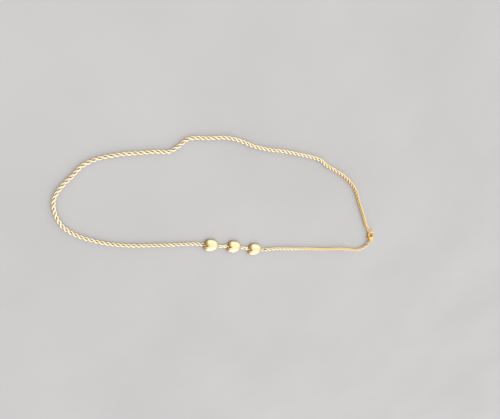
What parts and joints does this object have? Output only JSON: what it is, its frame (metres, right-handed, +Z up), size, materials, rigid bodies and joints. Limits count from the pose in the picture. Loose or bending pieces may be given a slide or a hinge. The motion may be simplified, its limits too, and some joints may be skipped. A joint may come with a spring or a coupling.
{
  "type": "necklace",
  "caption": "Gold rope chain necklace with a row of puffed heart stations and a lobster clasp, lying open as a closed loop on a flat surface.",
  "frame": {"origin": "middle of the loop's outline on the surface that it lies on", "axes": "+Z up from the surface, +X along the loop's long way towards the clasp, +Y from the hearts towards the back of the loop"},
  "size_m": [0.2214, 0.0782, 0.004],
  "materials": {
    "gold": "polished yellow gold",
    "heart_gold": "polished pale yellow gold with a fine hammered grain"
  },
  "bodies": {
    "necklace": {"chain_left": "gold", "chain_right": "gold", "connector_1": "gold", "connector_2": "gold", "heart_1": "heart_gold", "heart_2": "heart_gold", "heart_3": "heart_gold", "clasp_body": "gold", "catch_ring": "gold", "tail_ring": "gold"},
    "lever": {"clasp_lever": "gold"}
  },
  "joints": [
    {"name": "lever_pivot", "type": "hinge", "parent": "necklace", "child": "lever", "pos_m": [0.10813, -0.01931, 0.0016], "axis": [0, 0, 1], "range_deg": [0, 18], "stiffness_Nm_per_rad": 0.001}
  ]
}
